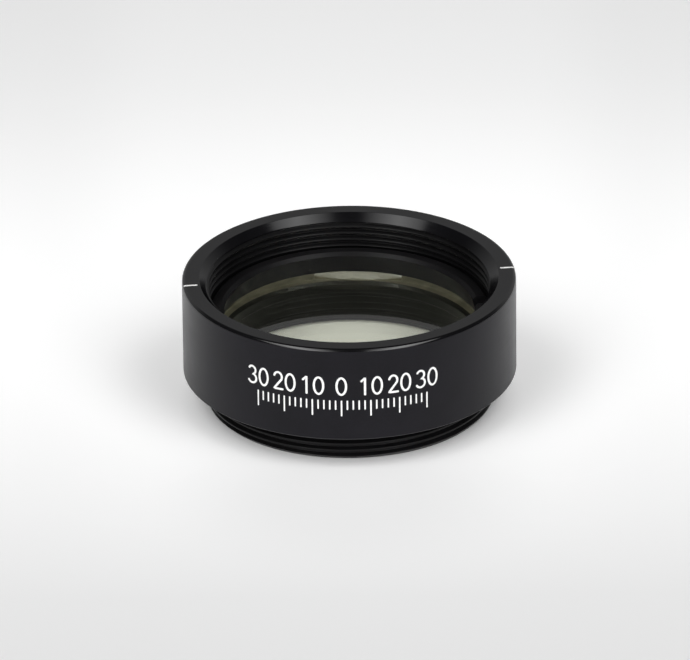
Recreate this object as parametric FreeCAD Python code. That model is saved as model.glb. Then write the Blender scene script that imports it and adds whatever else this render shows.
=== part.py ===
import FreeCAD
import Part
import math
import os

# A round mount that holds a half-wave plate, in millimetres.
# The origin is the centre of the nose's end face, and +Z points out of the mouth.

# Thread of both ends, 1.035 in across and 40 to the inch, cut by a 60 degree tool
thread_major_d = 26.289
thread_pitch = 0.635
bite_in_pitches = 1.0825

# Nose, with the male thread
nose_len = 3.05
nose_lead = 0.35
nose_relief_w = 0.8
nose_relief_depth = 0.45

# Mouth, with the female thread, and the flat rim round it
mouth_wall_len = 2.17
mouth_flare = 0.86
rim_w = 1.59
rim_edge_r = 0.2
shoulder_edge = 0.1

# Ledge that the plate rests on, and the bore that light leaves through
seat_rise = 1.19
seat_w = 1.0
seat_edge = 0.3
exit_edge = 0.65

# Plate, a retarder film laminated between two windows, with a flat ground on its edge
plate_clearance = 0.1
window_t = 1.2
window_bevel = 0.12
film_t = 0.2
film_inset = 0.1
flat_depth = 0.65

# Ring that screws down on the plate
ring_h = 2.13
ring_clearance = 0.05
ring_grip = 0.75
ring_undercut = 0.52
ring_lip_edge = 0.32
ring_side_edge = 0.2
slot_w = 1.4
slot_depth = 0.9

# Groove where the mouth's thread runs out, from just above the ring downwards
groove_w = 0.6
groove_depth = 0.55
groove_above_ring = 0.1

# Two index marks cut across the rim, with the ring's slots on the same line
mark_azimuth = 6.0
flat_from_marks = 80.0
mark_len = 1.4
mark_w = 0.2
mark_depth = 0.08

# Length that carries a cut clear of the surface it starts from
overrun = 1.0

# Radii, worked out from the thread outwards and inwards
nose_r = thread_major_d / 2
mouth_r = nose_r - bite_in_pitches * thread_pitch / 2
flare_r = mouth_r + mouth_flare
body_r = flare_r + rim_w
plate_r = mouth_r - plate_clearance
clear_r = plate_r - seat_w
ring_r = mouth_r - ring_clearance
foot_r = plate_r - ring_grip
lip_r = foot_r - ring_undercut

# Heights, stacked from the seat to the rim
seat_z = nose_len + seat_rise
film_z = seat_z + window_t
entry_z = film_z + film_t
ring_z = entry_z + window_t
ring_top_z = ring_z + ring_h
groove_top_z = ring_top_z + groove_above_ring
flare_z = groove_top_z + mouth_wall_len
rim_z = flare_z + mouth_flare


def solid_of_turn(corners):
    """Revolve a closed outline about Z. A corner is (radius, height, rounding)."""
    count = len(corners)
    ends = []
    for i, (r, z, rounding) in enumerate(corners):
        here = FreeCAD.Vector(r, 0, z)
        before = FreeCAD.Vector(corners[i - 1][0], 0, corners[i - 1][1]) - here
        after = FreeCAD.Vector(corners[(i + 1) % count][0], 0, corners[(i + 1) % count][1]) - here
        if rounding == 0:
            ends.append((here, None, here))
            continue
        half_angle = before.getAngle(after) / 2
        before.normalize()
        after.normalize()
        reach = rounding / math.tan(half_angle)
        inward = before + after
        inward.normalize()
        nearest = here + inward * (rounding / math.sin(half_angle) - rounding)
        ends.append((here + before * reach, nearest, here + after * reach))
    edges = []
    for i, (start, middle, stop) in enumerate(ends):
        if middle is not None:
            edges.append(Part.Arc(start, middle, stop).toShape())
        edges.append(Part.LineSegment(stop, ends[(i + 1) % count][0]).toShape())
    face = Part.Face(Part.Wire(edges))
    return face.revolve(FreeCAD.Vector(0, 0, 0), FreeCAD.Vector(0, 0, 1), 360)


def radial_slot(r_inner, r_outer, width, z_floor, z_top, azimuth, round_end):
    """A straight cut along one radius, with a round inner end where asked."""
    height = z_top - z_floor
    start = r_inner + width / 2 if round_end else r_inner
    corner = FreeCAD.Vector(start, -width / 2, z_floor)
    cut = Part.makeBox(r_outer - start, width, height, corner)
    if round_end:
        cut = cut.fuse(Part.makeCylinder(width / 2, height, FreeCAD.Vector(start, 0, z_floor)))
    cut.rotate(FreeCAD.Vector(0, 0, 0), FreeCAD.Vector(0, 0, 1), azimuth)
    return cut


def opposite_slots(r_inner, r_outer, width, z_floor, z_top, round_end):
    """The same cut on both sides of the axis, on the line of the index marks."""
    return [
        radial_slot(r_inner, r_outer, width, z_floor, z_top, mark_azimuth + turn, round_end)
        for turn in (0, 180)
    ]


def make_housing():
    """Threaded nose, shoulder, barrel, flared mouth, pocket and seat in one piece."""
    relief_r = nose_r - nose_relief_depth
    relief_z = nose_len - nose_relief_w
    groove_r = mouth_r + groove_depth
    groove_z = groove_top_z - groove_w
    outline = [
        (clear_r + exit_edge, 0, 0),
        (nose_r - nose_lead, 0, 0),
        (nose_r, nose_lead, 0),
        (nose_r, relief_z, 0),
        (relief_r, relief_z + nose_relief_depth, 0),
        (relief_r, nose_len, 0),
        (body_r - shoulder_edge, nose_len, 0),
        (body_r, nose_len + shoulder_edge, 0),
        (body_r, rim_z, rim_edge_r),
        (flare_r, rim_z, 0),
        (mouth_r, flare_z, 0),
        (mouth_r, groove_top_z, 0),
        (groove_r, groove_top_z, 0),
        (groove_r, groove_z, 0),
        (mouth_r, groove_z, 0),
        (mouth_r, seat_z, 0),
        (clear_r + seat_edge, seat_z, 0),
        (clear_r, seat_z - seat_edge, 0),
        (clear_r, exit_edge, 0),
    ]
    marks = opposite_slots(
        body_r - mark_len, body_r + overrun, mark_w, rim_z - mark_depth, rim_z + overrun, True
    )
    return solid_of_turn(outline).cut(marks)


def make_retaining_ring():
    """Ring with a bevelled lip, a bore that widens towards the plate, and two spanner slots."""
    outline = [
        (foot_r, ring_z, 0),
        (ring_r - ring_side_edge, ring_z, 0),
        (ring_r, ring_z + ring_side_edge, 0),
        (ring_r, ring_top_z - ring_side_edge, 0),
        (ring_r - ring_side_edge, ring_top_z, 0),
        (lip_r + ring_lip_edge, ring_top_z, 0),
        (lip_r, ring_top_z - ring_lip_edge, 0),
    ]
    slots = opposite_slots(
        lip_r - overrun, ring_r + overrun, slot_w, ring_top_z - slot_depth, ring_top_z + overrun, False
    )
    return solid_of_turn(outline).cut(slots)


def block_behind_flat(z, height, inset, bevel):
    """A block that a disc is cropped with, so that a flat is left on the disc's edge."""
    far = plate_r - flat_depth - inset
    side = body_r + overrun
    block = Part.makeBox(side + far, 2 * side, height, FreeCAD.Vector(-side, -side, z))
    if bevel > 0:
        edges = []
        for edge in block.Edges:
            middle = edge.CenterOfMass
            if abs(middle.x - far) < overrun / 2 and abs(middle.y) < overrun / 2:
                edges.append(edge)
        block = block.makeChamfer(bevel, edges)
    block.rotate(FreeCAD.Vector(0, 0, 0), FreeCAD.Vector(0, 0, 1), mark_azimuth + flat_from_marks)
    return block


def make_window(z):
    """A polished glass disc with a flat, and both edges bevelled."""
    outline = [
        (0, z, 0),
        (plate_r - window_bevel, z, 0),
        (plate_r, z + window_bevel, 0),
        (plate_r, z + window_t - window_bevel, 0),
        (plate_r - window_bevel, z + window_t, 0),
        (0, z + window_t, 0),
    ]
    return solid_of_turn(outline).common(block_behind_flat(z, window_t, 0, window_bevel))


def make_retarder_film():
    """The birefringent layer, set back a little from the windows' edge."""
    disc = Part.makeCylinder(plate_r - film_inset, film_t, FreeCAD.Vector(0, 0, film_z))
    return disc.common(block_behind_flat(film_z, film_t, film_inset, 0))


def main():
    os.makedirs("parts", exist_ok=True)
    nodes = {
        "housing": make_housing(),
        "retaining_ring": make_retaining_ring(),
        "entry_window": make_window(entry_z),
        "retarder_film": make_retarder_film(),
        "exit_window": make_window(seat_z),
    }
    for name, shape in nodes.items():
        shape.exportStep(os.path.join("parts", name + ".step"))


main()
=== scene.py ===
import math

import bmesh
import bpy
from mathutils import Matrix, Vector


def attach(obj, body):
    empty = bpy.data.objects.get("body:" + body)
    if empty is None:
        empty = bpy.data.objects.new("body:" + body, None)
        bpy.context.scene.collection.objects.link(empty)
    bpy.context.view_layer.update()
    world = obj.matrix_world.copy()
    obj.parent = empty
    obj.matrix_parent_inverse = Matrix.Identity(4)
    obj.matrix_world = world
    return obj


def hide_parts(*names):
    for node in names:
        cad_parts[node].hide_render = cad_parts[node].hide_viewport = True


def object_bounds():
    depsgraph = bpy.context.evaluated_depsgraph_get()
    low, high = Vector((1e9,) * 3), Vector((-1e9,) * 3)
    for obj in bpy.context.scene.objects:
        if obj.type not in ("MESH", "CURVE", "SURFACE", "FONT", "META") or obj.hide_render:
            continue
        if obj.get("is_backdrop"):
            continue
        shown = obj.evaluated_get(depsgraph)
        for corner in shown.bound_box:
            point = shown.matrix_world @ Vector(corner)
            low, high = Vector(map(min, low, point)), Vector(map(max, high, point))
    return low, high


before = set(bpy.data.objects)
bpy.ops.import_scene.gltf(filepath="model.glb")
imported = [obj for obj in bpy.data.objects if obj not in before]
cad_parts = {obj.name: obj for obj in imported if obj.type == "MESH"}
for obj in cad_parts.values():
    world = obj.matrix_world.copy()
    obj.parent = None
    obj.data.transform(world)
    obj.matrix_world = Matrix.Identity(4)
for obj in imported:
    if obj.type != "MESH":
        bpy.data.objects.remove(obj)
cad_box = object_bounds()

# The looks of a round mount that holds a half-wave plate. Lengths of the part are in millimetres,
# with the origin and axes of the CAD model, and become metres when a mesh is finished.
MM = 0.001
PI = math.pi

# Thread of both ends. A tooth has a flat tip, two flanks and softened corners, in shares of a pitch,
# and a flank has extra rows at two shares of its depth.
NOSE_R = 13.1445
PITCH = 0.635
TOOTH_DEPTH = 0.3437
TIP_FLAT = 0.25
FLANK = 0.3125
SOFT = 0.03
FLANK_ROWS = (0.37, 0.63)

# Pitches below a thread's lower end at which its first tooth starts. It sets the heights at which
# the teeth stand on each side.
THREAD_START = 1.44

# Nose, up to the shoulder, and the relief where its thread runs out
SHOULDER_Z = 3.05
NOSE_LEAD = 0.35
RELIEF_W = 0.8
RELIEF_DEPTH = 0.45

# Mouth and rim. The rim's rounding is wider than in the CAD solid, as the photo shows it.
MOUTH_WALL = 2.17
FLARE = 0.86
RIM_W = 1.59
RIM_EDGE = 0.30
SHOULDER_EDGE = 0.10

# Ledge that the plate rests on, and the bore that light leaves through
SEAT_RISE = 1.19
SEAT_W = 1.0
SEAT_EDGE = 0.3
EXIT_EDGE = 0.65

# Plate, with a flat on its edge
PLATE_CLEARANCE = 0.1
PLATE_T = 2.6
PLATE_BEVEL = 0.12
FLAT_DEPTH = 0.65
FLAT_AZIMUTH = 86.0

# Ring that holds the plate, with two spanner slots on the line of the index marks
RING_H = 2.13
RING_CLEARANCE = 0.05
RING_GRIP = 0.75
RING_UNDERCUT = 0.52
RING_LIP_EDGE = 0.32
RING_SIDE_EDGE = 0.2
RING_SLOT_W = 1.4
RING_SLOT_DEPTH = 0.9

# Groove where the mouth's thread runs out
GROOVE_W = 0.6
GROOVE_DEPTH = 0.55
GROOVE_ABOVE_RING = 0.1

# Two index marks across the rim, wider than in the CAD solid, as the photo shows them
MARK_AZIMUTH = 6.0
MARK_LEN = 1.4
MARK_W = 0.3
MARK_DEPTH = 0.08

# Radii, worked out from the thread outwards and inwards
RELIEF_R = NOSE_R - RELIEF_DEPTH
MOUTH_R = NOSE_R - TOOTH_DEPTH
FLARE_R = MOUTH_R + FLARE
BODY_R = FLARE_R + RIM_W
GROOVE_R = MOUTH_R + GROOVE_DEPTH
PLATE_R = MOUTH_R - PLATE_CLEARANCE
PLATE_FLAT_R = PLATE_R - FLAT_DEPTH
CLEAR_R = PLATE_R - SEAT_W
RING_R = MOUTH_R - RING_CLEARANCE
RING_FOOT_R = PLATE_R - RING_GRIP
RING_LIP_R = RING_FOOT_R - RING_UNDERCUT

# Heights, stacked from the shoulder to the rim
RELIEF_Z = SHOULDER_Z - RELIEF_W
SEAT_Z = SHOULDER_Z + SEAT_RISE
PLATE_TOP_Z = SEAT_Z + PLATE_T
RING_TOP_Z = PLATE_TOP_Z + RING_H
GROOVE_TOP_Z = RING_TOP_Z + GROOVE_ABOVE_RING
GROOVE_Z = GROOVE_TOP_Z - GROOVE_W
FLARE_Z = GROOVE_TOP_Z + MOUTH_WALL
RIM_Z = FLARE_Z + FLARE

# The barrel is a little smaller than the CAD solid, and the printed scale starts inside it and
# ends between the two, so that it stays in the solid's box
SKIN_INSET = 0.009
PRINT_INSET = 0.0025
PRINT_ROOT_INSET = 0.03
SKIN_R = BODY_R - SKIN_INSET
PRINT_R = BODY_R - PRINT_INSET
PRINT_ROOT_R = BODY_R - PRINT_ROOT_INSET

# Roundings that only break an edge or soften a corner
BREAK = 0.03
RIM_BREAK = 0.04
CORNER = 0.05
SHOULDER_CORNER = 0.08

# Meshes: columns round the axis, degrees in a step of a rounding, the strip beside a rounding that
# keeps the flat next to it flat, and the distances within which heights and vertices are one
COLUMNS = 360
ARC_STEP = 15
HOLD = 0.02
SAME_HEIGHT = 1e-4
SAME_VERTEX = 2e-4

# Length that carries a cut clear of the surface it starts from, and the steps in its round end
OVERRUN = 1
ROUND_STEPS = 8


def tooth_profile():
    """Rows over one pitch, from a tip to the next, as (share of a pitch, share of the depth)."""
    low = SOFT / FLANK
    corner = low / 4
    root_start = TIP_FLAT + FLANK
    root_stop = 1 - FLANK
    inwards = [(TIP_FLAT + FLANK * share, share) for share in FLANK_ROWS]
    outwards = [(1 - FLANK * share, share) for share in reversed(FLANK_ROWS)]
    return [
        (SOFT, 0.0),
        (TIP_FLAT - SOFT, 0.0),
        (TIP_FLAT, corner),
        (TIP_FLAT + SOFT, low),
        *inwards,
        (root_start - SOFT, 1 - low),
        (root_start, 1 - corner),
        (root_start + SOFT, 1.0),
        (root_stop - SOFT, 1.0),
        (root_stop, 1 - corner),
        (root_stop + SOFT, 1 - low),
        *outwards,
        (1 - SOFT, low),
        (1.0, corner),
    ]


PROFILE = tooth_profile()


def depth_at(phase):
    """Share of the tooth's depth at a phase, read off the profile."""
    phase %= 1.0
    before = (PROFILE[-1][0] - 1, PROFILE[-1][1])
    for row in PROFILE:
        if phase <= row[0]:
            share = (phase - before[0]) / (row[0] - before[0])
            return before[1] + share * (row[1] - before[1])
        before = row
    return PROFILE[-1][1]


def rounded(corners, closed=False):
    """Points of an outline whose corners (radius, height, rounding) are rounded off.

    A rounded corner gets a point just before and after its arc, which keeps the flats flat
    when the surface is shaded smooth.
    """
    points = []
    count = len(corners)
    for i, (r, z, rounding) in enumerate(corners):
        at_end = not closed and i in (0, count - 1)
        if rounding == 0 or at_end:
            points.append((r, z))
            continue
        here = Vector((r, z))
        before = Vector(corners[i - 1][:2]) - here
        after = Vector(corners[(i + 1) % count][:2]) - here
        half_angle = before.angle(after) / 2
        before.normalize()
        after.normalize()
        reach = rounding / math.tan(half_angle)
        centre = here + (before + after).normalized() * (rounding / math.sin(half_angle))
        start = here + before * reach - centre
        stop = here + after * reach - centre
        sweep = start.angle(stop)
        steps = max(2, round(math.degrees(sweep) / ARC_STEP))
        points.append(tuple(here + before * (reach + HOLD)))
        for k in range(steps + 1):
            share = k / steps
            a = math.sin((1 - share) * sweep) / math.sin(sweep)
            b = math.sin(share * sweep) / math.sin(sweep)
            points.append(tuple(centre + start * a + stop * b))
        points.append(tuple(here + after * (reach + HOLD)))
    return points


def ring_point(r, z, turn):
    """The point at a radius and height, a share of a turn round the axis."""
    return (r * math.cos(2 * PI * turn), r * math.sin(2 * PI * turn), z)


class Thread:
    """Rows of vertices that climb round the part with the helix, between two heights."""

    def __init__(self, low, high, radius_at):
        self.low = low
        self.high = high
        self.radius_at = radius_at
        self.base = low - THREAD_START * PITCH
        pitches = math.ceil((high - self.base) / PITCH) + 1
        self.count = pitches * len(PROFILE)

    def end_vertex(self, z, turn, add):
        """Vertex where a column meets the thread's lower or upper end."""
        depth = depth_at((z - self.base) / PITCH - turn)
        return add(ring_point(self.radius_at(z, depth), z, turn))

    def column(self, turn, add):
        """Vertex of each row, upwards, made by add at a point.

        Rows below or above the thread share its end vertices.
        """
        low_vertex = self.end_vertex(self.low, turn, add)
        high_vertex = self.end_vertex(self.high, turn, add)
        vertices = []
        for k in range(self.count):
            phase, depth = PROFILE[k % len(PROFILE)]
            z = self.base + PITCH * (k // len(PROFILE) + phase + turn)
            if z <= self.low + SAME_HEIGHT:
                vertices.append(low_vertex)
            elif z >= self.high - SAME_HEIGHT:
                vertices.append(high_vertex)
            else:
                vertices.append(add(ring_point(self.radius_at(z, depth), z, turn)))
        return vertices

    def met(self, vertices):
        """The first column's vertices as the last column meets them, one pitch further round."""
        shift = len(PROFILE)
        return vertices[shift:] + [vertices[-1]] * shift


def outline_column(bm, parts, turn):
    """Vertices along the outline at one turn, and the same as the column before meets them."""
    column = []
    met = []
    for part in parts:
        if isinstance(part, list):
            vertices = [bm.verts.new(ring_point(r, z, turn)) for r, z in part]
            column.extend(vertices)
            met.extend(vertices)
            continue
        thread, downwards = part
        vertices = thread.column(turn, bm.verts.new)
        shifted = thread.met(vertices)
        column.extend(reversed(vertices) if downwards else vertices)
        met.extend(reversed(shifted) if downwards else shifted)
    return column, met


def spin(bm, parts, slot_of):
    """Revolve an outline made of plain stretches (lists of points) and threads, as a closed skin.

    A thread is given as (thread, downwards). slot_of(vertices) gives a face's material slot.
    """
    pairs = [outline_column(bm, parts, j / COLUMNS) for j in range(COLUMNS)]
    columns = [column for column, met in pairs]
    columns.append(pairs[0][1])
    rows = len(columns[0])
    for left, right in zip(columns, columns[1:]):
        for i in range(rows):
            k = (i + 1) % rows
            corners = [left[i], right[i], right[k], left[k]]
            kept = [v for n, v in enumerate(corners) if v is not corners[n - 1]]
            if len(kept) >= 3:
                face = bm.faces.new(kept)
                face.material_index = slot_of(kept)
                face.smooth = True


def skin(bm, sections, closed=False):
    """Faces over a row of loops of vertices. The end loops are filled unless the row is closed."""
    following = sections[1:] + (sections[:1] if closed else [])
    faces = []
    for a, b in zip(sections, following):
        for m in range(len(a)):
            n = (m + 1) % len(a)
            faces.append(bm.faces.new([a[m], a[n], b[n], b[m]]))
    if not closed:
        faces.append(bm.faces.new(list(reversed(sections[0]))))
        faces.append(bm.faces.new(sections[-1]))
    return faces


def finish_mesh(bm, name, materials, sharp=38):
    """Turn a bmesh in millimetres into an object in metres, with crisp edges kept."""
    bmesh.ops.remove_doubles(bm, verts=bm.verts, dist=SAME_VERTEX)
    bmesh.ops.recalc_face_normals(bm, faces=bm.faces)
    bmesh.ops.scale(bm, vec=(MM, MM, MM), verts=bm.verts)
    mesh = bpy.data.meshes.new(name)
    bm.to_mesh(mesh)
    bm.free()
    for material in materials:
        mesh.materials.append(material)
    mesh.set_sharp_from_angle(angle=math.radians(sharp))
    obj = bpy.data.objects.new(name, mesh)
    bpy.context.scene.collection.objects.link(obj)
    return obj


def cut(bm, cutter):
    """Subtract a closed cutter from a closed mesh, both in millimetres."""
    objects = []
    for part in (bm, cutter):
        mesh = bpy.data.meshes.new("cut")
        part.to_mesh(mesh)
        part.free()
        obj = bpy.data.objects.new("cut", mesh)
        bpy.context.scene.collection.objects.link(obj)
        objects.append(obj)
    body, tool = objects
    boolean = body.modifiers.new("cut", "BOOLEAN")
    boolean.operation = "DIFFERENCE"
    boolean.solver = "EXACT"
    boolean.object = tool
    graph = bpy.context.evaluated_depsgraph_get()
    result = bmesh.new()
    result.from_object(body, graph)
    for obj in objects:
        bpy.data.objects.remove(obj)
    return result


def slot_outline(r_inner, r_outer, width, azimuth, round_end):
    """Outline of a straight radial slot, counter-clockwise, with a round inner end where asked."""
    half = width / 2
    points = [(r_outer, -half), (r_outer, half)]
    if round_end:
        for k in range(ROUND_STEPS + 1):
            a = PI / 2 + PI * k / ROUND_STEPS
            points.append((r_inner + half + half * math.cos(a), half * math.sin(a)))
    else:
        points += [(r_inner, half), (r_inner, -half)]
    turn = Matrix.Rotation(math.radians(azimuth), 2)
    return [tuple(turn @ Vector(p)) for p in points]


def opposite_slots(r_inner, r_outer, width, z_low, z_high, round_end, material_slot):
    """A cutter for the same cut on both sides of the axis, on the line of the index marks."""
    cutter = bmesh.new()
    for turn in (0, 180):
        outline = slot_outline(r_inner, r_outer, width, MARK_AZIMUTH + turn, round_end)
        loops = [[cutter.verts.new((x, y, z)) for x, y in outline] for z in (z_low, z_high)]
        for face in skin(cutter, loops):
            face.material_index = material_slot
    return cutter


# Materials


class Nodes:
    """A node tree, with short calls to add and join nodes."""

    def __init__(self, tree):
        self.tree = tree

    def add(self, kind, **settings):
        """A new node, with its own properties set."""
        node = self.tree.nodes.new(kind)
        for key, value in settings.items():
            setattr(node, key, value)
        return node

    def join(self, source, target):
        """A link from an output to an input."""
        self.tree.links.new(source, target)

    def math(self, operation, a, b=None):
        """One Math node. a and b are sockets or numbers."""
        node = self.add("ShaderNodeMath", operation=operation)
        for socket, value in zip(node.inputs, (a, b)):
            if value is None:
                continue
            if isinstance(value, (int, float)):
                socket.default_value = value
            else:
                self.join(value, socket)
        return node.outputs[0]

    def blend(self, a, b, share):
        """One value's share and the other's rest, added up."""
        return self.math("ADD", self.math("MULTIPLY", a, share), self.math("MULTIPLY", b, 1 - share))

    def distance(self, a, b):
        """Length of the vector with two given parts."""
        squares = self.math("ADD", self.math("MULTIPLY", a, a), self.math("MULTIPLY", b, b))
        return self.math("SQRT", squares)

    def split(self, vector):
        """The three parts of a vector."""
        node = self.add("ShaderNodeSeparateXYZ")
        self.join(vector, node.inputs[0])
        return node.outputs

    def ramp(self, factor, low, high, stops):
        """A blend between two colours over a range of the factor."""
        node = self.add("ShaderNodeValToRGB")
        self.join(factor, node.inputs[0])
        for element, place, colour in zip(node.color_ramp.elements, stops, (low, high)):
            element.position = place
            element.color = (*colour, 1)
        return node.outputs[0]

    def span(self, value, from_min, from_max, to_min, to_max, kind="LINEAR"):
        """A value moved from one range to another, and held inside it."""
        node = self.add("ShaderNodeMapRange", interpolation_type=kind)
        self.join(value, node.inputs["Value"])
        node.inputs["From Min"].default_value = from_min
        node.inputs["From Max"].default_value = from_max
        node.inputs["To Min"].default_value = to_min
        node.inputs["To Max"].default_value = to_max
        return node.outputs[0]


class Shader(Nodes):
    """A new material's node tree, with calls for what the materials here are made of."""

    def __init__(self, name):
        self.material = bpy.data.materials.new(name)
        self.material.use_nodes = True
        super().__init__(self.material.node_tree)
        self.tree.nodes.clear()
        self.output = self.add("ShaderNodeOutputMaterial")

    def shader(self, kind, **values):
        """A shader node with values for its inputs, whose names have underscores for spaces."""
        node = self.add(kind)
        for name, value in values.items():
            node.inputs[name.replace("_", " ")].default_value = value
        return node

    def mix(self, share, first, second):
        """A mix of two shader nodes, given the second one's share."""
        node = self.add("ShaderNodeMixShader")
        self.join(share, node.inputs[0])
        self.join(first.outputs[0], node.inputs[1])
        self.join(second.outputs[0], node.inputs[2])
        return node

    def done(self, surface):
        """The material, with a shader node as its surface."""
        self.join(surface.outputs[0], self.output.inputs["Surface"])
        return self.material

    def coordinates(self):
        """Place in the piece, in metres."""
        return self.add("ShaderNodeTexCoord").outputs["Object"]

    def noise(self, scale, detail=2.0):
        """Soft noise through the piece. scale is about the number of cells in a metre."""
        node = self.add("ShaderNodeTexNoise")
        self.join(self.coordinates(), node.inputs["Vector"])
        node.inputs["Scale"].default_value = scale
        node.inputs["Detail"].default_value = detail
        return node.outputs[0]

    def turning(self, lines_per_mm):
        """Noise that runs round the axis in fine lines, as a lathe tool leaves them.

        wander is how much the lines change on their way round.
        """
        wander = 1.5
        scale = lines_per_mm / MM
        x, y, z = self.split(self.coordinates())
        radius = self.distance(x, y)
        along = self.add("ShaderNodeCombineXYZ")
        self.join(self.math("MULTIPLY", radius, scale), along.inputs[0])
        self.join(self.math("MULTIPLY", z, scale), along.inputs[1])
        self.join(self.math("MULTIPLY", self.math("DIVIDE", x, radius), wander), along.inputs[2])
        node = self.add("ShaderNodeTexNoise", noise_dimensions="4D")
        self.join(along.outputs[0], node.inputs["Vector"])
        self.join(self.math("MULTIPLY", self.math("DIVIDE", y, radius), wander), node.inputs["W"])
        node.inputs["Scale"].default_value = 1.0
        node.inputs["Detail"].default_value = 3.0
        return node.outputs[0]

    def bump(self, height, depth_mm, normal=None):
        """A normal tilted by a height, on top of an earlier one where given."""
        node = self.add("ShaderNodeBump")
        self.join(height, node.inputs["Height"])
        node.inputs["Distance"].default_value = depth_mm * MM
        if normal is not None:
            self.join(normal, node.inputs["Normal"])
        return node.outputs[0]


def black_anodised(name, colour, roughness, specular, lines, line_depth, grain_depth):
    """Dyed anodised aluminium: a tool's fine lines, a fine grain, and an uneven sheen.

    lines is how many the tool leaves in a millimetre, and both depths are in millimetres.
    """
    darkest = 0.72
    lightest = 1.3
    wander = 0.05
    s = Shader(name)
    surface = s.shader("ShaderNodeBsdfPrincipled", Specular_IOR_Level=specular)
    cloud = s.noise(scale=260.0, detail=3.0)
    grain = s.noise(scale=9000.0)
    marks = s.turning(lines)
    tone = s.blend(cloud, grain, 0.5)
    dark = tuple(c * darkest for c in colour)
    light = tuple(c * lightest for c in colour)
    s.join(s.ramp(tone, dark, light, stops=(0.35, 0.65)), surface.inputs["Base Color"])
    uneven = s.blend(cloud, marks, 0.6)
    sheen = s.span(uneven, 0.3, 0.7, roughness - wander, roughness + wander)
    s.join(sheen, surface.inputs["Roughness"])
    normal = s.bump(grain, grain_depth, s.bump(marks, line_depth))
    s.join(normal, surface.inputs["Normal"])
    return s.done(surface)


# Depth of the paint's and the ground glass's relief in millimetres, and the index of refraction
FINE_RELIEF = 0.002
GLASS_IOR = 1.52


def white_paint():
    """Matt white filling with a slightly uneven face."""
    s = Shader("white_paint")
    surface = s.shader("ShaderNodeBsdfPrincipled")
    cloud = s.noise(scale=3500.0, detail=3.0)
    colour = s.ramp(cloud, (0.8, 0.8, 0.79), (0.94, 0.94, 0.93), stops=(0.35, 0.6))
    s.join(colour, surface.inputs["Base Color"])
    s.join(s.span(cloud, 0.3, 0.7, 0.45, 0.65), surface.inputs["Roughness"])
    s.join(s.bump(cloud, FINE_RELIEF), surface.inputs["Normal"])
    return s.done(surface)


def polished_glass():
    """Clear window glass that lets lamp light straight through to what is under it."""
    s = Shader("polished_glass")
    glass = s.shader(
        "ShaderNodeBsdfPrincipled",
        Base_Color=(0.985, 0.99, 0.975, 1),
        Transmission_Weight=1.0,
        IOR=GLASS_IOR,
        Specular_IOR_Level=0.4,
    )
    smear = s.noise(scale=120.0)
    s.join(s.span(smear, 0.5, 0.8, 0.0, 0.02), glass.inputs["Roughness"])
    clear = s.shader("ShaderNodeBsdfTransparent", Color=(0.97, 0.975, 0.945, 1))
    path = s.add("ShaderNodeLightPath")
    lamps = s.math("MAXIMUM", path.outputs["Is Shadow Ray"], path.outputs["Is Diffuse Ray"])
    return s.done(s.mix(lamps, glass, clear))


def ground_edge():
    """The plate's ground edge and the cement under it, an uneven olive seen through the glass."""
    s = Shader("ground_edge")
    surface = s.shader("ShaderNodeBsdfPrincipled", Roughness=0.8, Specular_IOR_Level=0.2)
    cloud = s.noise(scale=700.0, detail=3.0)
    grit = s.noise(scale=20000.0)
    colour = s.ramp(cloud, (0.090, 0.085, 0.064), (0.138, 0.130, 0.098), stops=(0.3, 0.7))
    s.join(colour, surface.inputs["Base Color"])
    s.join(s.bump(grit, FINE_RELIEF), surface.inputs["Normal"])
    return s.done(surface)


def lapped_flat():
    """The flat on the plate's edge: half polished, so that it mirrors dimly from inside."""
    s = Shader("lapped_flat")
    glass = s.shader(
        "ShaderNodeBsdfPrincipled", Transmission_Weight=1.0, IOR=GLASS_IOR, Roughness=0.02
    )
    ground = s.shader("ShaderNodeBsdfDiffuse", Color=(0.12, 0.11, 0.072, 1))
    cloud = s.noise(scale=900.0, detail=3.0)
    rubbed = s.span(cloud, 0.35, 0.65, 0.46, 0.70)
    return s.done(s.mix(rubbed, glass, ground))


def tinted_film():
    """The retarder layer: see-through, with a faint green-yellow tint."""
    s = Shader("tinted_film")
    film = s.shader("ShaderNodeBsdfTransparent")
    cloud = s.noise(scale=90.0, detail=1.0)
    tint = s.ramp(cloud, (0.982, 0.985, 0.956), (0.988, 0.991, 0.966), stops=(0.4, 0.6))
    s.join(tint, film.inputs["Color"])
    return s.done(film)


BARREL = black_anodised(
    "anodised_barrel",
    colour=(0.0052, 0.0048, 0.0072),
    roughness=0.32,
    specular=0.20,
    lines=14,
    line_depth=0.0005,
    grain_depth=0.0005,
)
TURNED = black_anodised(
    "anodised_turned",
    colour=(0.0026, 0.0025, 0.0032),
    roughness=0.15,
    specular=0.31,
    lines=9,
    line_depth=0.0002,
    grain_depth=0.0001,
)
EDGE = black_anodised(
    "anodised_edge",
    colour=(0.0015, 0.0014, 0.0019),
    roughness=0.12,
    specular=0.60,
    lines=9,
    line_depth=0.0002,
    grain_depth=0.0001,
)
THREADED = black_anodised(
    "anodised_thread",
    colour=(0.0042, 0.0041, 0.0044),
    roughness=0.34,
    specular=0.20,
    lines=9,
    line_depth=0.0003,
    grain_depth=0.0002,
)
POCKET = black_anodised(
    "anodised_pocket",
    colour=(0.0056, 0.0056, 0.0052),
    roughness=0.32,
    specular=0.20,
    lines=7,
    line_depth=0.0006,
    grain_depth=0.0003,
)
EXIT = black_anodised(
    "anodised_exit",
    colour=(0.0060, 0.0055, 0.0065),
    roughness=0.62,
    specular=0.10,
    lines=7,
    line_depth=0.0006,
    grain_depth=0.0003,
)
RING = black_anodised(
    "anodised_ring",
    colour=(0.0072, 0.0070, 0.0075),
    roughness=0.35,
    specular=0.11,
    lines=9,
    line_depth=0.0004,
    grain_depth=0.0002,
)
PAINT = white_paint()
GLASS = polished_glass()
GROUND = ground_edge()
LAPPED = lapped_flat()
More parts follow.
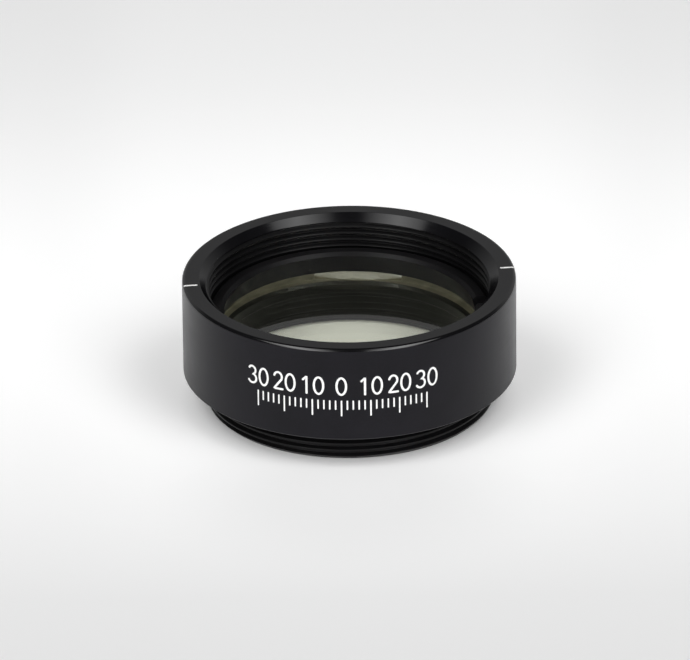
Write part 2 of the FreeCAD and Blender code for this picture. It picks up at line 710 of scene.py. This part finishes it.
FILM = tinted_film()


# Housing

HOUSING_SLOTS = [BARREL, TURNED, THREADED, POCKET, EDGE, EXIT]

# Share of the rim's rounding that is polished, from its top, and the margins that keep the middle
# of a face on its own side of an edge, of the flare's slope and of a bevel
POLISHED_SHARE = 0.74
EDGE_MARGIN = 0.01
SLOPE_MARGIN = 0.02
BEVEL_MARGIN = 0.05


def housing_slot(vertices):
    """Material slot of a face of the housing, from the mean radius and height of its corners."""
    z = sum(v.co.z for v in vertices) / len(vertices)
    r = sum(math.hypot(v.co.x, v.co.y) for v in vertices) / len(vertices)
    if r > SKIN_R - RIM_EDGE and z > SHOULDER_Z + EDGE_MARGIN:
        material = EDGE if z > RIM_Z - POLISHED_SHARE * RIM_EDGE else BARREL
    elif z > FLARE_Z + BEVEL_MARGIN and r > MOUTH_R + z - FLARE_Z - SLOPE_MARGIN:
        material = TURNED
    elif z > GROOVE_Z or r > PLATE_R + EDGE_MARGIN:
        material = THREADED
    else:
        material = EXIT if z < EXIT_EDGE + BEVEL_MARGIN else POCKET
    return HOUSING_SLOTS.index(material)


def mouth_radius(z, depth):
    """Bore radius in the mouth's thread, where the flare cuts the teeth's tips off."""
    flare = MOUTH_R + max(0.0, z - FLARE_Z)
    return max(flare, MOUTH_R + TOOTH_DEPTH * depth)


def nose_radius(z, depth):
    """Outer radius on the nose's thread, between the lead and the relief."""
    lead = NOSE_R - max(0.0, NOSE_LEAD - z)
    relief = NOSE_R - max(0.0, z - RELIEF_Z)
    return min(lead, relief, NOSE_R - TOOTH_DEPTH * depth)


def make_housing():
    """Turned housing: two stretches of outline, joined by the mouth's and the nose's thread."""
    nose = Thread(0.0, RELIEF_Z + TOOTH_DEPTH, nose_radius)
    mouth = Thread(GROOVE_TOP_Z, FLARE_Z + TOOTH_DEPTH, mouth_radius)
    outside = rounded(
        [
            (NOSE_R - TOOTH_DEPTH, RELIEF_Z + TOOTH_DEPTH, 0),
            (RELIEF_R, RELIEF_Z + RELIEF_DEPTH, CORNER),
            (RELIEF_R, SHOULDER_Z, SHOULDER_CORNER),
            (SKIN_R - SHOULDER_EDGE, SHOULDER_Z, BREAK),
            (SKIN_R, SHOULDER_Z + SHOULDER_EDGE, BREAK),
            (SKIN_R, RIM_Z, RIM_EDGE),
            (FLARE_R, RIM_Z, RIM_BREAK),
            (MOUTH_R + TOOTH_DEPTH, FLARE_Z + TOOTH_DEPTH, 0),
        ]
    )[1:-1]
    inside = rounded(
        [
            (MOUTH_R, GROOVE_TOP_Z, 0),
            (GROOVE_R, GROOVE_TOP_Z, CORNER),
            (GROOVE_R, GROOVE_Z, CORNER),
            (MOUTH_R, GROOVE_Z, RIM_BREAK),
            (MOUTH_R, SEAT_Z, CORNER),
            (CLEAR_R + SEAT_EDGE, SEAT_Z, BREAK),
            (CLEAR_R, SEAT_Z - SEAT_EDGE, BREAK),
            (CLEAR_R, EXIT_EDGE, BREAK),
            (CLEAR_R + EXIT_EDGE, 0, BREAK),
            (NOSE_R - NOSE_LEAD, 0, 0),
        ]
    )[1:-1]
    bm = bmesh.new()
    spin(bm, [outside, (mouth, True), inside, (nose, False)], housing_slot)
    bmesh.ops.remove_doubles(bm, verts=bm.verts, dist=SAME_VERTEX)
    bmesh.ops.recalc_face_normals(bm, faces=bm.faces)
    marks = opposite_slots(
        r_inner=BODY_R - MARK_LEN,
        r_outer=BODY_R + OVERRUN,
        width=MARK_W,
        z_low=RIM_Z - MARK_DEPTH,
        z_high=RIM_Z + OVERRUN,
        round_end=True,
        material_slot=HOUSING_SLOTS.index(TURNED),
    )
    return finish_mesh(cut(bm, marks), "housing_turned", HOUSING_SLOTS)


def make_ring():
    """Retaining ring, with its bevelled lip and two spanner slots."""
    outline = rounded(
        [
            (RING_FOOT_R, PLATE_TOP_Z, BREAK),
            (RING_R - RING_SIDE_EDGE, PLATE_TOP_Z, BREAK),
            (RING_R, PLATE_TOP_Z + RING_SIDE_EDGE, BREAK),
            (RING_R, RING_TOP_Z - RING_SIDE_EDGE, BREAK),
            (RING_R - RING_SIDE_EDGE, RING_TOP_Z, BREAK),
            (RING_LIP_R + RING_LIP_EDGE, RING_TOP_Z, BREAK),
            (RING_LIP_R, RING_TOP_Z - RING_LIP_EDGE, BREAK),
        ],
        closed=True,
    )
    bm = bmesh.new()
    spin(bm, [outline], lambda vertices: 0)
    bmesh.ops.recalc_face_normals(bm, faces=bm.faces)
    slots = opposite_slots(
        r_inner=RING_LIP_R - OVERRUN,
        r_outer=RING_R + OVERRUN,
        width=RING_SLOT_W,
        z_low=RING_TOP_Z - RING_SLOT_DEPTH,
        z_high=RING_TOP_Z + OVERRUN,
        round_end=False,
        material_slot=0,
    )
    return finish_mesh(cut(bm, slots), "retaining_ring_turned", [RING])


# Plate

WINDOW_SLOTS = [GLASS, GROUND, LAPPED]
FLAT_HALF_ANGLE = math.degrees(math.acos(PLATE_FLAT_R / PLATE_R))

# Row of the plate's outline at which its upright edge starts
EDGE_ROW = 2

# The cement reaches in to the seat's edge. The plate's faces stay a hair off the seat and the ring,
# so that no two surfaces lie in one plane.
CEMENT_R = CLEAR_R + SEAT_EDGE
CEMENT_MIN_W = 0.002
FACE_GAP = 0.004


def plate_edge(angle):
    """Distance from the axis to the plate's edge in one direction, in degrees, flat included."""
    off = (angle - FLAT_AZIMUTH + 180) % 360 - 180
    if abs(off) > FLAT_HALF_ANGLE:
        return PLATE_R
    return PLATE_FLAT_R / math.cos(math.radians(off))


def make_windows():
    """Both windows as one closed solid, so that light bends only at the outer faces.

    The round edge, its bevels and the cemented ledge are ground, the flat is lapped, and the
    faces that fan out from the two centres are polished.
    """
    low = SEAT_Z + FACE_GAP
    high = PLATE_TOP_Z - FACE_GAP
    angles = [360 * j / COLUMNS for j in range(COLUMNS)]
    angles += [FLAT_AZIMUTH - FLAT_HALF_ANGLE, FLAT_AZIMUTH + FLAT_HALF_ANGLE]
    angles.sort()
    bm = bmesh.new()
    columns = []
    for angle in angles:
        edge = plate_edge(angle)
        rows = [
            (min(CEMENT_R, edge - PLATE_BEVEL - CEMENT_MIN_W), low),
            (edge - PLATE_BEVEL, low),
            (edge, low + PLATE_BEVEL),
            (edge, high - PLATE_BEVEL),
            (edge - PLATE_BEVEL, high),
        ]
        columns.append([bm.verts.new(ring_point(r, z, angle / 360)) for r, z in rows])
    low_centre = bm.verts.new((0, 0, low))
    high_centre = bm.verts.new((0, 0, high))
    next_columns = columns[1:] + columns[:1]
    next_angles = angles[1:] + [360.0]
    for left, right, start, stop in zip(columns, next_columns, angles, next_angles):
        on_flat = abs((start + stop) / 2 - FLAT_AZIMUTH) < FLAT_HALF_ANGLE
        for i in range(len(left) - 1):
            face = bm.faces.new([left[i], right[i], right[i + 1], left[i + 1]])
            material = LAPPED if on_flat and i == EDGE_ROW else GROUND
            face.material_index = WINDOW_SLOTS.index(material)
            face.smooth = not on_flat
        bm.faces.new([low_centre, right[0], left[0]])
        bm.faces.new([high_centre, left[-1], right[-1]])
    return finish_mesh(bm, "windows", WINDOW_SLOTS, sharp=20)


# White filling of the index marks: its gaps to the mark's sides and floor, how far it lies below
# the rim and stops short of the mark's outer end, the height of its bevels, the share of its width
# between them, its least half width, and the steps along it
FILL_SIDE_GAP = 0.004
FILL_FLOOR_GAP = 0.0015
FILL_DROP = 0.012
FILL_SHORT = 0.01
FILL_BEVEL = 0.008
FILL_TOP_SHARE = 0.75
FILL_MIN_HALF = 0.001
FILL_STEPS = 40


def make_index_fill(azimuth, name):
    """White filling in one index mark, a little below the rim and down over its round edge."""
    half = MARK_W / 2 - FILL_SIDE_GAP
    low = RIM_Z - MARK_DEPTH + FILL_FLOOR_GAP
    edge_r = SKIN_R - RIM_EDGE
    start = BODY_R - MARK_LEN + FILL_SIDE_GAP
    stop = edge_r + math.sqrt(RIM_EDGE**2 - (RIM_EDGE - MARK_DEPTH) ** 2) - FILL_SHORT
    bm = bmesh.new()
    sections = []
    for i in range(FILL_STEPS + 1):
        r = start + (stop - start) * (1 - math.cos(PI * i / FILL_STEPS)) / 2
        over = max(0.0, r - edge_r)
        top = RIM_Z - FILL_DROP - RIM_EDGE + math.sqrt(RIM_EDGE**2 - over**2)
        short = max(0.0, start + half - r)
        width = math.sqrt(max(FILL_MIN_HALF**2, half**2 - short**2))
        side = [(width, low), (width, max(top - FILL_BEVEL, low)), (width * FILL_TOP_SHARE, max(top, low))]
        loop = [(r, -y, z) for y, z in side] + [(r, y, z) for y, z in reversed(side)]
        sections.append([bm.verts.new(co) for co in loop])
    for face in skin(bm, sections):
        face.smooth = True
    bmesh.ops.rotate(bm, verts=bm.verts, matrix=Matrix.Rotation(math.radians(azimuth), 3, "Z"))
    return finish_mesh(bm, name, [PAINT])


# Scale on the barrel, with its directions in degrees

SCALE_CENTRE = 267.0
SCALE_SPAN = 30
SCALE_STEP = 2
NUMBER_STEP = 10
TICK_W = 0.14
TICK_TOP_Z = 6.95
LONG_TICK = 1.45
SHORT_TICK = 0.8
LINE_W = 0.2
NUMBER_Z = 7.60
NUMBER_H = 1.65
NUMBER_W = 0.86
NUMBER_GAP = 0.32
CAP_STEPS = 5


def round_end(middle, out, half):
    """Pairs of points, to the left and right of a direction, that round off a line's end."""
    across = Vector((-out.y, out.x)) * half
    pairs = []
    for k in range(1, CAP_STEPS):
        a = PI / 2 * k / CAP_STEPS
        tip = middle + out * half * math.sin(a)
        pairs.append((tip + across * math.cos(a), tip - across * math.cos(a)))
    return pairs


def ribbon(bm, path, width, closed=False):
    """A thin printed line along a flat path of (x, height), wrapped on the barrel.

    x runs round the barrel in millimetres. The line has round ends unless it is closed.
    """
    half = width / 2
    points = [Vector(p) for p in path]
    if closed:
        before = points[-1:] + points[:-1]
        after = points[1:] + points[:1]
    else:
        before = points[:1] + points[:-1]
        after = points[1:] + points[-1:]
    directions = [(b - a).normalized() for a, b in zip(before, after)]
    pairs = []
    for point, along in zip(points, directions):
        across = Vector((-along.y, along.x)) * half
        pairs.append((point + across, point - across))
    if not closed:
        first = [(right, left) for left, right in round_end(points[0], -directions[0], half)]
        first.reverse()
        pairs = first + pairs + round_end(points[-1], directions[-1], half)

    def wrapped(p, r):
        angle = math.radians(SCALE_CENTRE) + p.x / BODY_R
        return bm.verts.new((r * math.cos(angle), r * math.sin(angle), p.y))

    sections = []
    for left, right in pairs:
        corners = ((left, PRINT_R), (left, PRINT_ROOT_R), (right, PRINT_ROOT_R), (right, PRINT_R))
        sections.append([wrapped(p, r) for p, r in corners])
    skin(bm, sections, closed)


def stroke(points, steps):
    """A path through points, as (x, height) in shares of a digit's box, made dense."""
    path = []
    for (xa, ya), (xb, yb) in zip(points, points[1:]):
        for k in range(steps):
            share = k / steps
            path.append((xa + (xb - xa) * share, ya + (yb - ya) * share))
    path.append(points[-1])
    return path


def arc(cx, cy, rx, ry, start, stop, steps):
    """Points on an ellipse from one angle to another, in degrees."""
    points = []
    for k in range(steps + 1):
        a = math.radians(start + (stop - start) * k / steps)
        points.append((cx + rx * math.cos(a), cy + ry * math.sin(a)))
    return points


def digit_path(digit):
    """A figure of the scale, 0 to 3, as one line in a box one wide and one high."""
    if digit == "0":
        return arc(0.5, 0.5, 0.5, 0.5, 0, 354, 47)
    if digit == "1":
        return stroke([(0.2, 0.8), (0.58, 1.0), (0.58, 0.0)], 12)
    if digit == "2":
        foot = (0.04, 0.0)
        top = arc(0.5, 0.72, 0.44, 0.28, 165, -30, 20)
        return top + stroke([top[-1], foot], 10)[1:] + stroke([foot, (1.0, 0.0)], 8)[1:]
    upper = arc(0.46, 0.76, 0.42, 0.24, 150, -80, 20)
    lower = arc(0.46, 0.27, 0.5, 0.27, 80, -150, 22)
    return upper[:-1] + [(0.5, 0.53)] + lower[1:]


def make_scale():
    """Ticks and plain numbers, printed round the front of the barrel."""
    ticks = bmesh.new()
    numbers = bmesh.new()
    degree = BODY_R * PI / 180
    for angle in range(-SCALE_SPAN, SCALE_SPAN + 1, SCALE_STEP):
        x = angle * degree
        length = LONG_TICK if angle % NUMBER_STEP == 0 else SHORT_TICK
        ribbon(ticks, [(x, TICK_TOP_Z), (x, TICK_TOP_Z - length)], TICK_W)
        if angle % NUMBER_STEP:
            continue
        text = str(abs(angle))
        whole = len(text) * NUMBER_W + (len(text) - 1) * NUMBER_GAP
        for i, digit in enumerate(text):
            left = x - whole / 2 + i * (NUMBER_W + NUMBER_GAP)
            path = [(left + px * NUMBER_W, NUMBER_Z + py * NUMBER_H) for px, py in digit_path(digit)]
            ribbon(numbers, path, LINE_W, closed=(digit == "0"))
    return [
        finish_mesh(ticks, "scale_ticks", [PAINT]),
        finish_mesh(numbers, "scale_numbers", [PAINT]),
    ]


housing = make_housing()
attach(housing, "root")
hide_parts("housing")

ring = make_ring()
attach(ring, "root")
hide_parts("retaining_ring")

windows = make_windows()
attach(windows, "root")
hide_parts("entry_window", "exit_window")

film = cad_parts["retarder_film"]
film.data.materials.clear()
film.data.materials.append(FILM)

for azimuth, name in ((MARK_AZIMUTH, "index_fill_a"), (MARK_AZIMUTH + 180, "index_fill_b")):
    fill = make_index_fill(azimuth, name)
    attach(fill, "root")

for piece in make_scale():
    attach(piece, "root")


# Stage, in metres: floor, soft boxes and surroundings

FLOOR_SIZE = 4.0
FLOOR_DROP = 0.00002

# The floor's colour carries a painted pool of light: palest at a spot behind the axis and darker away from
# it.
# Sideways, a distance counts for this share of itself.
FLOOR_PAINTED_LIT = (0.93, 0.93, 0.93)
FLOOR_PAINTED_DIM = (0.72, 0.72, 0.72)
PAINTED_POOL_Y = 0.012
PAINTED_POOL_SIDEWAYS = 0.3464
PAINTED_POOL_REACH = 0.12

# The floor also gives off a little light, which only the camera, mirrors and clear pieces see. It
# fades by (start, stop, share at the start, share at the stop): under the part, from the front to
# the back, far behind, to both sides, and round a spot in front of the axis.
GLOW = 0.28
GLOW_UNDER = (0.0124, 0.0156, 0.0, 1.0)
GLOW_FRONT = (-0.040, 0.020, 0.0, 1.0)
GLOW_BEHIND = (0.020, 0.075, 1.0, 0.45)
GLOW_ASIDE = (0.017, 0.029, 1.0, 0.75)
GLOW_SPOT = (0.005, 0.019, 0.1, 1.0)
GLOW_SPOT_Y = -0.020
GLOW_IN_MIRRORS = 0.5


def floor_material():
    """Pale sheet with a painted pool of light that falls off gently away from the part, and a painted glow
    that only the camera, mirrors and clear pieces see.
    """
    s = Shader("pale_floor")
    surface = s.shader("ShaderNodeBsdfPrincipled", Roughness=0.9, Specular_IOR_Level=0.0)
    x, y, z = s.split(s.coordinates())
    sideways = s.math("MULTIPLY", x, PAINTED_POOL_SIDEWAYS)
    away = s.distance(sideways, s.math("SUBTRACT", y, PAINTED_POOL_Y))
    # Painted pool of light: the floor's colour darkens away from a spot behind the axis
    fall = s.span(away, 0.0, PAINTED_POOL_REACH, 0.0, 1.0, "SMOOTHSTEP")
    s.join(s.ramp(fall, FLOOR_PAINTED_LIT, FLOOR_PAINTED_DIM, (0.0, 1.0)), surface.inputs["Base Color"])
    spot = s.distance(x, s.math("SUBTRACT", y, GLOW_SPOT_Y))
    glow = s.math("MULTIPLY", s.span(s.distance(x, y), *GLOW_UNDER), GLOW)
    for part in (
        s.span(y, *GLOW_FRONT),
        s.span(y, *GLOW_BEHIND, "SMOOTHSTEP"),
        s.span(s.math("ABSOLUTE", x), *GLOW_ASIDE, "SMOOTHSTEP"),
        s.span(spot, *GLOW_SPOT, "SMOOTHSTEP"),
    ):
        glow = s.math("MULTIPLY", glow, part)
    path = s.add("ShaderNodeLightPath")
    seen = s.math("MULTIPLY", path.outputs["Is Glossy Ray"], GLOW_IN_MIRRORS)
    seen = s.math("MAXIMUM", seen, path.outputs["Is Camera Ray"])
    seen = s.math("MAXIMUM", seen, path.outputs["Is Transmission Ray"])
    shine = s.add("ShaderNodeEmission")
    s.join(s.math("MULTIPLY", glow, seen), shine.inputs["Strength"])
    both = s.add("ShaderNodeAddShader")
    s.join(surface.outputs[0], both.inputs[0])
    s.join(shine.outputs[0], both.inputs[1])
    return s.done(both)


def make_floor():
    """Flat square a hair below the part."""
    half = FLOOR_SIZE / 2
    mesh = bpy.data.meshes.new("floor")
    corners = [(-half, -half, 0), (half, -half, 0), (half, half, 0), (-half, half, 0)]
    mesh.from_pydata(corners, [], [(0, 1, 2, 3)])
    mesh.materials.append(floor_material())
    obj = bpy.data.objects.new("floor", mesh)
    obj.location = (0, 0, -FLOOR_DROP)
    bpy.context.scene.collection.objects.link(obj)
    obj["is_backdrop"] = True


make_floor()

# The boxes stand on both sides of the camera, farther off, and leave a dark strip between them.
# Each is dim at its inner edge, brightest at its peak, as a share of its width, and falls off
# again to its outer edge.
BOX_DISTANCE = 1.7
BOX_AZIMUTH = 36
BOX_ELEVATION = 38
BOX_ROLL = 22
BOX_W = 0.68 * BOX_DISTANCE
BOX_H = 1.50 * BOX_DISTANCE
BOX_RADIANCE = 4.95
BOX_INNER = 0.05
BOX_PEAK = 0.55
BOX_OUTER = 0.35


def soft_box(name, side):
    """A soft box that faces the part. side is -1 on the left and 1 on the right."""
    light = bpy.data.lights.new(name, "AREA")
    light.shape = "RECTANGLE"
    light.size = BOX_W
    light.size_y = BOX_H
    light.energy = BOX_RADIANCE * PI * BOX_W * BOX_H
    light.use_nodes = True
    nodes = Nodes(light.node_tree)
    across = nodes.split(nodes.add("ShaderNodeNewGeometry").outputs["Parametric"])[0]
    ends = (0.0, 1.0) if side > 0 else (1.0, 0.0)
    fade = nodes.add("ShaderNodeValToRGB")
    nodes.join(nodes.span(across, 0.0, 1.0, *ends), fade.inputs[0])
    stops = fade.color_ramp.elements
    stops.new(BOX_PEAK)
    for stop, share in zip(stops, (BOX_INNER, 1.0, BOX_OUTER)):
        stop.color = (share, share, share, 1)
    nodes.join(fade.outputs[0], light.node_tree.nodes["Emission"].inputs["Strength"])
    azimuth = math.radians(side * BOX_AZIMUTH)
    elevation = math.radians(BOX_ELEVATION)
    away = math.cos(elevation)
    out = Vector((math.sin(azimuth) * away, -math.cos(azimuth) * away, math.sin(elevation)))
    right = Vector((math.cos(azimuth), math.sin(azimuth), 0))
    roll = Matrix.Rotation(math.radians(-side * BOX_ROLL), 3, "Z")
    turn = Matrix((right, out.cross(right), out)).transposed() @ roll
    obj = bpy.data.objects.new(name, light)
    obj.location = out * BOX_DISTANCE
    obj.rotation_mode = "QUATERNION"
    obj.rotation_quaternion = turn.to_quaternion()
    bpy.context.scene.collection.objects.link(obj)


soft_box("soft_box_left", -1)
soft_box("soft_box_right", 1)

# Light from the room and from a backdrop behind the part. The backdrop fades out upwards and
# sideways over these ranges of a direction's height and depth.
ROOM_RADIANCE = 0.07
BACKDROP_RADIANCE = 0.37
BACKDROP_TOP = (0.50, 0.62)
BACKDROP_SIDES = (0.2, 0.8)


def surroundings():
    """Dim room, with a paler backdrop low behind the part."""
    world = bpy.data.worlds.new("studio")
    bpy.context.scene.world = world
    world.use_nodes = True
    nodes = Nodes(world.node_tree)
    x, y, z = nodes.split(nodes.add("ShaderNodeTexCoord").outputs["Generated"])
    low = nodes.span(z, *BACKDROP_TOP, 1.0, 0.0, "SMOOTHSTEP")
    behind = nodes.span(y, *BACKDROP_SIDES, 0.0, 1.0, "SMOOTHSTEP")
    both = nodes.math("MULTIPLY", low, behind)
    strength = nodes.span(both, 0.0, 1.0, ROOM_RADIANCE, BACKDROP_RADIANCE, "SMOOTHSTEP")
    background = world.node_tree.nodes["Background"]
    nodes.join(strength, background.inputs["Strength"])
    background.inputs["Color"].default_value = (1, 1, 1, 1)


surroundings()

bpy.context.scene.view_settings.view_transform = "Standard"


# Camera at the photo's angle, in metres and in pixels of the photo

CAMERA_ELEVATION = math.radians(26.09)
CAMERA_DISTANCE = 1.0
CAMERA_ROLL = math.radians(-0.62)
CAMERA_CLIP = (0.01, 20)
AIM_HEIGHT = 0.006
SENSOR_WIDTH = 36
PHOTO_WIDTH = 690
FOCAL_PIXELS = 10940.5
SHIFT_PIXELS = (4.6, 6.4)

camera_data = bpy.data.cameras.new("camera")
camera_data.sensor_width = SENSOR_WIDTH
camera_data.lens = FOCAL_PIXELS * SENSOR_WIDTH / PHOTO_WIDTH
camera_data.shift_x = -SHIFT_PIXELS[0] / PHOTO_WIDTH
camera_data.shift_y = SHIFT_PIXELS[1] / PHOTO_WIDTH
camera_data.clip_start, camera_data.clip_end = CAMERA_CLIP
camera = bpy.data.objects.new("camera", camera_data)
back = Vector((0, -math.cos(CAMERA_ELEVATION), math.sin(CAMERA_ELEVATION)))
camera.location = Vector((0, 0, AIM_HEIGHT)) + back * CAMERA_DISTANCE
tilt = Matrix.Rotation(PI / 2 - CAMERA_ELEVATION, 4, "X")
camera.rotation_euler = (tilt @ Matrix.Rotation(CAMERA_ROLL, 4, "Z")).to_euler()
bpy.context.scene.collection.objects.link(camera)
bpy.context.scene.camera = camera

visual_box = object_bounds()
boxes = {"cad": cad_box, "visual": visual_box}
{name: [list(corner) for corner in box] for name, box in boxes.items()}
